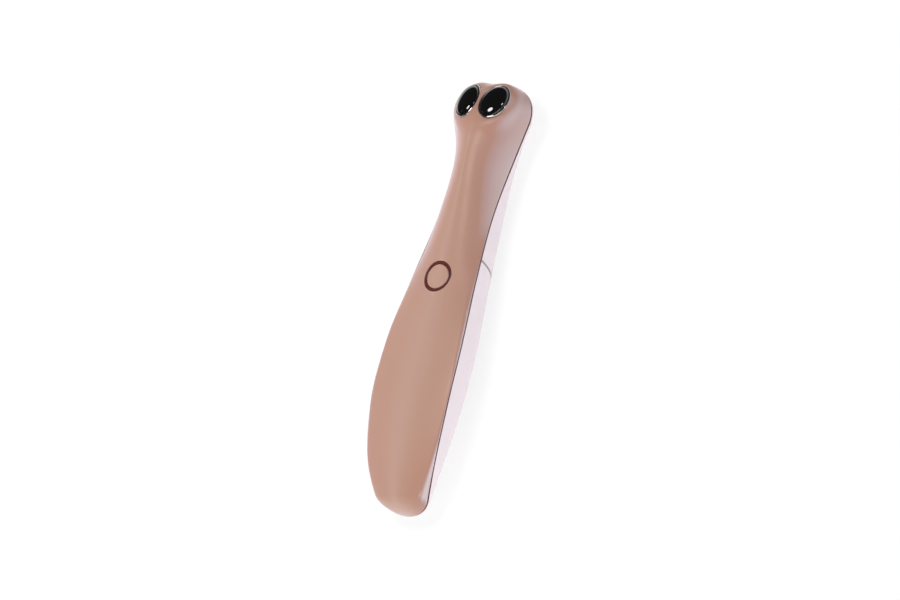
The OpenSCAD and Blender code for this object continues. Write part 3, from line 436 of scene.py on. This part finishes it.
# button: ring and cap follow the crown of the front
buttonBack = buttonFrame.inverted()


def crownDrop(u, v):
    a = button["at"] + v * math.cos(buttonTilt)
    return (buttonBack @ Vector((u, a, skinZ(a, u)))).z


def followCrown(rings, fade):  # rings of (r, z); z falls with the crown where fade is 1
    out = []
    for (r, z), f in zip(rings, fade):
        out.append([(x, y, z + f * crownDrop(x, y)) for x, y, _ in discRing(r, 0)])
    return out


def roundedEdge(r, z, soft, outward, steps=6):  # quarter round from the side up to the top
    return [(r - outward * soft * (1 - math.cos(t)), z - soft * (1 - math.sin(t)))
            for t in np.linspace(0, math.pi / 2, steps)]


ringProfile = ([(button["boreR"], -button["depth"]), (button["ringR"], -button["depth"])]
               + roundedEdge(button["ringR"], -button["ringSink"], 0.22, 1)
               + roundedEdge(button["boreR"], -button["ringSink"], 0.22, -1)[::-1])
ringFade = [0, 0] + [1] * (len(ringProfile) - 2)
buttonRing = lofted("buttonRingTrim", buttonFrame, followCrown(ringProfile, ringFade), closed=True)
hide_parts("button_ring")
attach(buttonRing, "housing")
capR = button["boreR"] - button["gap"]
capProfile = [(capR, -button["capDepth"])] + roundedEdge(capR, -button["capSink"], 0.25, 1)
capProfile += [(capR * s, -button["capSink"] - button["dish"] * (1 - s * s))  # a faint dish
               for s in (0.9, 0.8, 0.65, 0.5, 0.35, 0.2, 0.06)]
buttonCap = lofted("buttonCapTop", buttonFrame, followCrown(capProfile, [0] + [1] * (len(capProfile) - 1)))
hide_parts("button_cap")
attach(buttonCap, "button")
print("stage: button")

# domes and bezels
for side, word in ((1, "Right"), (-1, "Left")):
    place = domePlace(side)
    a = dome["bezelWall"] + dome["play"]
    rings = [ovalRing(a, dome["seat"]), ovalRing(a, dome["seat"] / 2)]
    for k in range(dome["rings"]):
        t = math.radians(dome["lastTurn"] * k / (dome["rings"] - 1))
        rings.append([(x * math.cos(t), y * math.cos(t), dome["height"] * math.sin(t))
                      for x, y, _ in ovalRing(a, 0)])
    domePiece = lofted("dome" + word + "Glossy", place, rings, smoothAngle=50)
    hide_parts("dome_" + word.lower())
    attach(domePiece, "housing")
    top, wide, lip, fall = dome["bezelTop"], dome["bezelWall"], dome["lip"], dome["fall"]
    profile = [(dome["bezelFoot"], dome["bezelBottom"]), (0, dome["bezelBottom"])]
    profile += [((wide - lip) * (1 - math.cos(t)), top - fall * (1 - math.sin(t)))
                for t in np.linspace(0, math.pi / 2, 9)]
    profile += [(wide - lip * (1 - math.cos(t)), top - lip * (1 - math.sin(t)))
                for t in np.linspace(math.pi / 2, 0, 6)[1:]]
    profile += [(wide, dome["seat"]), (dome["bezelFoot"], dome["seat"])]
    bezelRings = [ovalRing(i, z) for i, z in profile]
    bezelPiece = lofted("bezel" + word + "Polished", place, bezelRings, closed=True)
    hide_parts("bezel_" + word.lower())
    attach(bezelPiece, "housing")
print("stage: domes and bezels")


# finishes
def colour(r, g, b):  # screen values 0-255 to linear
    def one(c):
        c /= 255
        return c / 12.92 if c <= 0.04045 else ((c + 0.055) / 1.055) ** 2.4
    return (one(r), one(g), one(b), 1)


finishSet = {"noiseFrom": 0.3, "noiseTo": 0.7, "wearShare": 0.35}
# the painted sheen on the head's flanks starts at a smaller turn
headSheenShift = {"from": 0.056, "to": 0.066, "shift": 0.6, "full": 0.8}  # metres along the wand, then shares


class surfaceFinish:
    def __init__(self, name, base, roughness, **more):
        self.material = bpy.data.materials.new(name)
        self.material.use_nodes = True
        self.nodes, self.links = self.material.node_tree.nodes, self.material.node_tree.links
        self.shader = self.nodes["Principled BSDF"]
        self.base = base
        self.shader.inputs["Base Color"].default_value = base
        self.shader.inputs["Roughness"].default_value = roughness
        for key, value in more.items():
            self.shader.inputs[key.replace("_", " ")].default_value = value
        self.place = self.nodes.new("ShaderNodeTexCoord").outputs["Object"]

    def noise(self, scale, detail=2, rough=0.5):
        n = self.nodes.new("ShaderNodeTexNoise")
        n.inputs["Scale"].default_value = scale
        n.inputs["Detail"].default_value = detail
        n.inputs["Roughness"].default_value = rough
        self.links.new(self.place, n.inputs["Vector"])
        return n.outputs["Fac"]

    def ramp(self, source, low, high):
        n = self.nodes.new("ShaderNodeMapRange")
        n.inputs["From Min"].default_value = finishSet["noiseFrom"]
        n.inputs["From Max"].default_value = finishSet["noiseTo"]
        n.inputs["To Min"].default_value = low
        n.inputs["To Max"].default_value = high
        self.links.new(source, n.inputs["Value"])
        return n.outputs["Result"]

    def tint(self, source, other):  # base turns to the other colour where source is 1
        n = self.nodes.new("ShaderNodeMix")
        n.data_type = "RGBA"
        before = self.shader.inputs["Base Color"]
        if before.is_linked:
            self.links.new(before.links[0].from_socket, n.inputs["A"])
        else:
            n.inputs["A"].default_value = self.base
        n.inputs["B"].default_value = other
        self.links.new(source, n.inputs["Factor"])
        self.links.new(n.outputs["Result"], before)

    def mathNode(self, operation, *values):
        n = self.nodes.new("ShaderNodeMath")
        n.operation = operation
        for socket, value in zip(n.inputs, values):
            if isinstance(value, (int, float)):
                socket.default_value = value
            else:
                self.links.new(value, socket)
        return n.outputs[0]

    # painted sheen and shade: base by how far the surface turns to its own left or right, darker partway
    # round and paler, lilac at the flanks, sooner on the head; partly pearl flop
    def sheenByTurn(self, stops):
        facing = self.nodes.new("ShaderNodeSeparateXYZ")
        spot = self.nodes.new("ShaderNodeSeparateXYZ")
        self.links.new(self.nodes.new("ShaderNodeTexCoord").outputs["Normal"], facing.inputs[0])
        self.links.new(self.place, spot.inputs[0])
        head = self.nodes.new("ShaderNodeMapRange")
        head.inputs["From Min"].default_value = headSheenShift["from"]
        head.inputs["From Max"].default_value = headSheenShift["to"]
        head.inputs["To Max"].default_value = headSheenShift["shift"]
        self.links.new(spot.outputs["Y"], head.inputs["Value"])
        side = self.mathNode("ABSOLUTE", facing.outputs["X"])
        inner = self.mathNode("MAXIMUM", self.mathNode("SUBTRACT", headSheenShift["full"], side), 0.0)
        onHead = self.mathNode("MULTIPLY", head.outputs["Result"], inner)
        blend = self.nodes.new("ShaderNodeValToRGB")
        marks = blend.color_ramp.elements
        for place, tone in stops[1:-1]:
            marks.new(place).color = tone
        marks[0].color = stops[0][1]
        marks[-1].color = stops[-1][1]
        self.links.new(self.mathNode("ADD", side, onHead), blend.inputs["Fac"])
        self.links.new(blend.outputs["Color"], self.shader.inputs["Base Color"])

    def roughen(self, source, low, high):
        self.links.new(self.ramp(source, low, high), self.shader.inputs["Roughness"])

    def bump(self, source, distance, strength=0.3):
        n = self.nodes.new("ShaderNodeBump")
        n.inputs["Distance"].default_value = distance
        n.inputs["Strength"].default_value = strength
        self.links.new(source, n.inputs["Height"])
        self.links.new(n.outputs["Normal"], self.shader.inputs["Normal"])

    def wear(self, other, low, high):  # convex edges rub paler
        g = self.nodes.new("ShaderNodeNewGeometry").outputs["Pointiness"]
        n = self.nodes.new("ShaderNodeMapRange")
        n.inputs["From Min"].default_value = low
        n.inputs["From Max"].default_value = high
        n.inputs["To Max"].default_value = finishSet["wearShare"]
        self.links.new(g, n.inputs["Value"])
        self.tint(n.outputs["Result"], other)


def satinShell(name, sheenStops, roughness, flake, shade, sheen):
    f = surfaceFinish(name, sheenStops[0][1], roughness, Specular_IOR_Level=0.38, Coat_Weight=0.1,
                      Coat_Roughness=0.3, Sheen_Weight=sheen, Sheen_Roughness=0.4,
                      Sheen_Tint=colour(238, 230, 238))
    # painted sheen and shade by the surface's turn
    f.sheenByTurn(sheenStops)
    f.tint(f.ramp(f.noise(9000, 1), 0.0, 0.16), flake)  # fine pearl flake
    f.tint(f.ramp(f.noise(34, 3), 0.0, 0.10), shade)
    f.roughen(f.noise(120, 3), roughness * 0.94, roughness * 1.08)
    f.bump(f.noise(5200, 1), 0.000005, 0.2)
    f.wear(flake, 0.53, 0.60)
    return f.material


# painted sheen and shade, partly pearl flop: share of the surface's turn to its own side, and the colour
# there
roseSheenFlanks = [(0.0, colour(184, 147, 131)), (0.12, colour(179, 138, 119)), (0.28, colour(173, 128, 108)),
              (0.50, colour(168, 123, 106)), (0.66, colour(167, 125, 111)), (0.74, colour(171, 142, 140)),
              (0.81, colour(181, 162, 163)), (0.88, colour(200, 185, 188)), (1.0, colour(222, 207, 211))]
pearlSheenFlanks = [(0.0, colour(224, 212, 218)), (0.7, colour(228, 216, 222)), (1.0, colour(234, 224, 230))]
roseShell = satinShell("satinRoseShell", roseSheenFlanks, 0.44,
                       colour(206, 174, 160), colour(172, 134, 118), 0.8)
pearlShell = satinShell("satinPearlShell", pearlSheenFlanks, 0.40,
                        colour(242, 234, 240), colour(222, 209, 216), 0.4)
capFinish = satinShell("satinRoseCap", roseSheenFlanks, 0.42,
                       colour(208, 174, 160), colour(176, 134, 118), 0.4)


# even material with grain and a little mottling
def plainFinish(name, base, roughness, spot, scale, bumpSize, **more):
    f = surfaceFinish(name, base, roughness, **more)
    f.tint(f.ramp(f.noise(scale, 3), 0.0, 0.35), spot)
    f.roughen(f.noise(scale * 2.5, 2), roughness * 0.85, min(1, roughness * 1.15))
    f.bump(f.noise(scale * 6, 2), bumpSize)
    return f.material


ringFinish = plainFinish("glossMaroonRing", colour(92, 44, 38), 0.16,
                         colour(112, 58, 50), 260, 0.000004, Coat_Weight=0.6, Coat_Roughness=0.06)
sealFinish = plainFinish("maroonSilicone", colour(84, 40, 44), 0.45, colour(98, 52, 54), 700, 0.00001)
bezelFinish = plainFinish("polishedSilver", colour(206, 198, 196), 0.10,
                          colour(186, 178, 176), 300, 0.000002, Metallic=1.0)
domeFinish = plainFinish("blackCeramic", colour(8, 9, 9), 0.04,
                         colour(13, 13, 14), 180, 0.000001, IOR=1.7, Coat_Weight=0.3, Coat_Roughness=0.02)
# the groove band's grey is painted shade of the groove between the back covers
bandShadeFinish = plainFinish("greyBandShade", colour(168, 158, 164), 0.38, colour(150, 140, 146), 500, 0.000006)


def boardFinish():
    f = surfaceFinish("solderMask", colour(34, 92, 62), 0.32, Coat_Weight=0.3)
    f.tint(f.ramp(f.noise(1500, 1), 0.0, 0.8), colour(48, 118, 80))  # copper pours under the mask
    f.tint(f.ramp(f.noise(90, 2), 0.0, 0.25), colour(26, 74, 50))
    f.roughen(f.noise(600, 2), 0.28, 0.4)
    f.bump(f.noise(1500, 1), 0.00002, 0.3)
    return f.material


slotFinishes = {
    "band_grey": bandShadeFinish,
    "inner_rubber": plainFinish("innerSilicone", colour(52, 52, 54), 0.6,
                                colour(64, 64, 66), 900, 0.00002),
    "black_plastic": plainFinish("mouldedBlack", colour(30, 30, 32), 0.45,
                                 colour(42, 42, 44), 1200, 0.00001),
    "board_green": boardFinish(),
    "led_white": plainFinish("clearResin", colour(236, 230, 206), 0.2,
                             colour(246, 222, 150), 900, 0.00001, Coat_Weight=0.4),
    "nylon": plainFinish("mouldedNylon", colour(222, 218, 208), 0.5,
                         colour(208, 204, 194), 300, 0.00002),
    "steel": plainFinish("platedSteel", colour(166, 168, 172), 0.3,
                         colour(146, 148, 152), 600, 0.000005, Metallic=1.0),
    "nickel": plainFinish("nickelPlate", colour(204, 203, 200), 0.22,
                          colour(186, 184, 180), 400, 0.000004, Metallic=1.0),
    "cell_blue": plainFinish("shrunkFilm", colour(52, 92, 160), 0.3,
                             colour(66, 108, 176), 150, 0.00002, Coat_Weight=0.3),
    "foam": plainFinish("closedCellFoam", colour(38, 38, 40), 0.9, colour(52, 52, 54), 2200, 0.00015),
    "heater_film": plainFinish("amberFilm", colour(186, 118, 44), 0.3,
                               colour(150, 84, 26), 800, 0.00001),
    "lead_red": plainFinish("redInsulation", colour(176, 34, 34), 0.45,
                            colour(190, 52, 48), 900, 0.00001),
    "lead_black": plainFinish("blackInsulation", colour(34, 34, 36), 0.45,
                              colour(48, 48, 50), 900, 0.00001),
    "lead_blue": plainFinish("blueInsulation", colour(36, 62, 150), 0.45,
                             colour(50, 78, 166), 900, 0.00001),
    "lead_white": plainFinish("paleInsulation", colour(214, 212, 200), 0.45,
                              colour(200, 196, 184), 900, 0.00001)}
for part in frame["record"]["subparts"]:
    finish = slotFinishes.get(part["material_slot"])
    node = frame["nodes"].get(part["node"])
    if finish and node:
        for s in node.material_slots:
            s.material = finish

pieceFinishes = {"frontCoverSkin": (roseShell, "rose_shell"), "buttonCapTop": (capFinish, "rose_shell"),
                 "backCoverLowerSkin": (pearlShell, "pearl_shell"),
                 "backCoverUpperSkin": (pearlShell, "pearl_shell"),
                 "seamSeal": (sealFinish, "seam_maroon"), "buttonRingTrim": (ringFinish, "ring_maroon"),
                 "domeLeftGlossy": (domeFinish, "dome_black"), "domeRightGlossy": (domeFinish, "dome_black"),
                 "bezelLeftPolished": (bezelFinish, "bezel_silver"),
                 "bezelRightPolished": (bezelFinish, "bezel_silver")}
for name, (finish, slotName) in pieceFinishes.items():
    piece = bpy.data.objects[name]
    piece.data.materials.clear()
    piece.data.materials.append(finish)
print("stage: finishes on", len(pieceFinishes), "pieces and", len(slotFinishes), "slots")

# floor, world and lamps
floorSet = {"size": 6.0, "under": 0.0001, "white": 0.8, "near": 0.2, "far": 0.7, "dark": 0.05}
floorMesh = bpy.data.meshes.new("studioFloor")
s = floorSet["size"]
corners = [(x, y, -floorSet["under"]) for x, y in ((-s, -s), (s, -s), (s, s), (-s, s))]
floorMesh.from_pydata(corners, [], [(0, 1, 2, 3)])
floor = bpy.data.objects.new("studioFloor", floorMesh)
bpy.context.scene.collection.objects.link(floor)
floorMaterial = bpy.data.materials.new("paleFloor")
floorMaterial.use_nodes = True
nodes, links = floorMaterial.node_tree.nodes, floorMaterial.node_tree.links
nodes.clear()
matte = nodes.new("ShaderNodeBsdfDiffuse")
glow = nodes.new("ShaderNodeEmission")
path = nodes.new("ShaderNodeLightPath")
seen = nodes.new("ShaderNodeMath")
seen.operation = "MAXIMUM"
links.new(path.outputs["Is Camera Ray"], seen.inputs[0])
links.new(path.outputs["Is Glossy Ray"], seen.inputs[1])
share = nodes.new("ShaderNodeMath")
share.operation = "MULTIPLY"
share.inputs[1].default_value = floorSet["white"]
links.new(seen.outputs[0], share.inputs[0])
away = nodes.new("ShaderNodeVectorMath")  # mirrors see the floor bright only near the wand
away.operation = "LENGTH"
links.new(nodes.new("ShaderNodeTexCoord").outputs["Object"], away.inputs[0])
near = nodes.new("ShaderNodeMapRange")
near.inputs["From Min"].default_value = floorSet["near"]
near.inputs["From Max"].default_value = floorSet["far"]
near.inputs["To Min"].default_value = 1.0
near.inputs["To Max"].default_value = floorSet["dark"]
links.new(away.outputs["Value"], near.inputs["Value"])
lit = nodes.new("ShaderNodeMath")
lit.operation = "MAXIMUM"
links.new(path.outputs["Is Camera Ray"], lit.inputs[0])
links.new(near.outputs["Result"], lit.inputs[1])
links.new(lit.outputs[0], glow.inputs["Strength"])
links.new(lit.outputs[0], matte.inputs["Color"])
mix = nodes.new("ShaderNodeMixShader")
links.new(share.outputs[0], mix.inputs[0])
links.new(matte.outputs[0], mix.inputs[1])
links.new(glow.outputs[0], mix.inputs[2])
under = nodes.new("ShaderNodeMixShader")  # from below the floor lets the view through
links.new(nodes.new("ShaderNodeNewGeometry").outputs["Backfacing"], under.inputs[0])
links.new(mix.outputs[0], under.inputs[1])
links.new(nodes.new("ShaderNodeBsdfTransparent").outputs[0], under.inputs[2])
out = nodes.new("ShaderNodeOutputMaterial")
links.new(under.outputs[0], out.inputs[0])
floorMesh.materials.append(floorMaterial)

worldSet = {"fill": 0.46, "seen": 1.0, "mirrored": 0.05}
world = bpy.data.worlds.new("studioWorld")
bpy.context.scene.world = world
world.use_nodes = True
nodes, links = world.node_tree.nodes, world.node_tree.links
nodes.clear()
path = nodes.new("ShaderNodeLightPath")
seen = nodes.new("ShaderNodeMath")
seen.operation = "MAXIMUM"
links.new(path.outputs["Is Camera Ray"], seen.inputs[0])
links.new(path.outputs["Is Transmission Ray"], seen.inputs[1])
level = nodes.new("ShaderNodeMapRange")
level.inputs["To Min"].default_value = worldSet["fill"]
level.inputs["To Max"].default_value = worldSet["seen"]
links.new(seen.outputs[0], level.inputs["Value"])
shine = nodes.new("ShaderNodeMapRange")  # mirrors see a darker room than the matte surfaces
links.new(path.outputs["Is Glossy Ray"], shine.inputs["Value"])
links.new(level.outputs["Result"], shine.inputs["To Min"])
shine.inputs["To Max"].default_value = worldSet["mirrored"]
sky = nodes.new("ShaderNodeBackground")
links.new(shine.outputs["Result"], sky.inputs["Strength"])
out = nodes.new("ShaderNodeOutputWorld")
links.new(sky.outputs[0], out.inputs[0])

# lamps: direction from the wand, distance, width and height, brightness of the face, tone, seen in mirrors
lampAim = Vector((0, 0.03, 0.02))
lamps = {"topDish": ((0.11, 0.11, 0.985), 0.60, (0.25, 0.25), 11.5, (1.0, 0.99, 0.98), True),
         "leftBank": ((-0.96, 0.10, 0.17), 0.70, (1.10, 0.20), 6.5, (0.97, 0.95, 1.0), False),
         "rightStrip": ((0.74, -0.66, 0.10), 0.70, (0.90, 0.10), 4.0, (1.0, 0.98, 0.99), True),
         "tailBank": ((0.15, -0.85, 0.50), 0.80, (0.60, 0.60), 2.2, (1.0, 0.99, 0.98), False),
         "leftSpot": ((-0.741, -0.123, 0.66), 0.60, (0.04, 0.04), 8.0, (1.0, 0.99, 1.0), True),
         "rightSpot": ((0.843, 0.367, 0.392), 0.60, (0.08, 0.08), 14.0, (0.99, 0.98, 1.0), True)}
for name, (way, far, size, bright, tone, mirrored) in lamps.items():
    data = bpy.data.lights.new(name, "AREA")
    data.shape = "ELLIPSE" if size[0] == size[1] else "RECTANGLE"
    data.size, data.size_y = size
    data.energy = bright * math.pi * size[0] * size[1] * (math.pi / 4 if data.shape == "ELLIPSE" else 1)
    data.color = tone
    lamp = bpy.data.objects.new(name, data)
    lamp.visible_glossy = mirrored
    bpy.context.scene.collection.objects.link(lamp)
    spot = Vector(way).normalized() * far + lampAim
    lamp.location = spot
    lamp.rotation_euler = (lampAim - spot).to_track_quat("-Z", "Y").to_euler()
bpy.context.scene.view_settings.view_transform = "Standard"
print("stage: floor, world and lamps")
